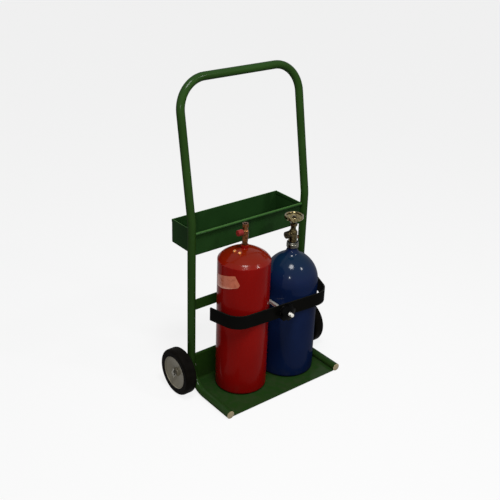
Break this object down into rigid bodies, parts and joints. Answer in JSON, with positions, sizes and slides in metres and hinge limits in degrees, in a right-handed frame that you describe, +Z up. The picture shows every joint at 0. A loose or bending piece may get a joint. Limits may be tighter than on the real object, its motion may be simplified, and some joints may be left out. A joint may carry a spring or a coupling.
{
  "type": "gas cylinder cart",
  "caption": "Two-wheeled cart with a bent tube frame, base plate, tool tray and a screw-down clamp band that holds an acetylene and an oxygen cylinder upright.",
  "frame": {"origin": "on the floor, midway between the two legs and in the plane of the legs", "axes": "+X to the right across the cart, +Y to the back where the wheels are, +Z up"},
  "size_m": [0.5884, 0.3387, 1.0007],
  "materials": {
    "frame_paint": "gloss",
    "end_cap_plastic": "satin",
    "zinc_steel": "satin",
    "disc_paint": "satin",
    "sintered_bush": "matt",
    "tyre_rubber": "matt",
    "band_paint": "satin",
    "knob_plastic": "gloss",
    "brass": "polished",
    "red_paint": "gloss",
    "filler": "matt",
    "cap_plastic": "satin",
    "blue_paint": "gloss",
    "neck_steel": "satin",
    "chrome": "polished"
  },
  "bodies": {
    "cart": {"frame_tube": "frame_paint", "end_caps": "end_cap_plastic", "base_plate": "frame_paint", "crossbar": "frame_paint", "tool_tray": "frame_paint", "axle": "zinc_steel", "axle_spacers": "zinc_steel", "axle_washers": "zinc_steel", "cotter_pins": "zinc_steel", "clamp_rod": "zinc_steel", "clamp_rod_nuts": "zinc_steel", "acetylene_shell": "red_paint", "acetylene_filler": "filler", "acetylene_fusible_plugs": "brass", "acetylene_valve_body": "brass", "acetylene_packing_nut": "brass", "oxygen_shell": "blue_paint", "oxygen_neck_ring": "neck_steel", "oxygen_valve_body": "brass", "oxygen_safety_plug": "brass", "oxygen_bonnet_nut": "brass"},
    "left_wheel": {"left_wheel_outer_disc": "disc_paint", "left_wheel_inner_disc": "disc_paint", "left_wheel_bush": "sintered_bush", "left_tyre": "tyre_rubber"},
    "right_wheel": {"right_wheel_outer_disc": "disc_paint", "right_wheel_inner_disc": "disc_paint", "right_wheel_bush": "sintered_bush", "right_tyre": "tyre_rubber"},
    "band": {"clamp_band": "band_paint", "clamp_washer": "zinc_steel"},
    "knob": {"clamp_knob": "knob_plastic", "knob_insert": "brass"},
    "acetylene_stem": {"acetylene_valve_stem": "brass"},
    "outlet_cap": {"acetylene_outlet_cap": "cap_plastic"},
    "oxygen_wheel": {"oxygen_spindle": "brass", "oxygen_handwheel": "chrome", "oxygen_wheel_nut": "chrome"}
  },
  "joints": [
    {"name": "left_wheel_spin", "type": "hinge", "parent": "cart", "child": "left_wheel", "pos_m": [-0.2693, 0.002, 0.0762], "axis": [1, 0, 0], "continuous": true},
    {"name": "right_wheel_spin", "type": "hinge", "parent": "cart", "child": "right_wheel", "pos_m": [0.2693, 0.002, 0.0762], "axis": [1, 0, 0], "continuous": true},
    {"name": "band_travel", "type": "slide", "parent": "cart", "child": "band", "axis": [0, -1, 0], "range_m": [0, 0.02]},
    {"name": "knob_turn", "type": "hinge", "parent": "band", "child": "knob", "pos_m": [0.011, -0.1726, 0.284], "axis": [0, -1, 0], "range_deg": [0, 3690]},
    {"name": "oxygen_valve_turn", "type": "hinge", "parent": "cart", "child": "oxygen_wheel", "pos_m": [0.10825, -0.0814, 0.5], "axis": [0, 0, 1], "range_deg": [0, 1080]},
    {"name": "acetylene_valve_turn", "type": "hinge", "parent": "cart", "child": "acetylene_stem", "pos_m": [-0.07975, -0.0749, 0.56], "axis": [0, 0, 1], "range_deg": [0, 540]},
    {"name": "outlet_cap_pull", "type": "slide", "parent": "cart", "child": "outlet_cap", "axis": [-1, 0, 0], "range_m": [0, 0.02]}
  ],
  "couplings": [
    {"joint": "knob_turn", "follows": "band_travel", "rad_per_m": 3215.6}
  ]
}
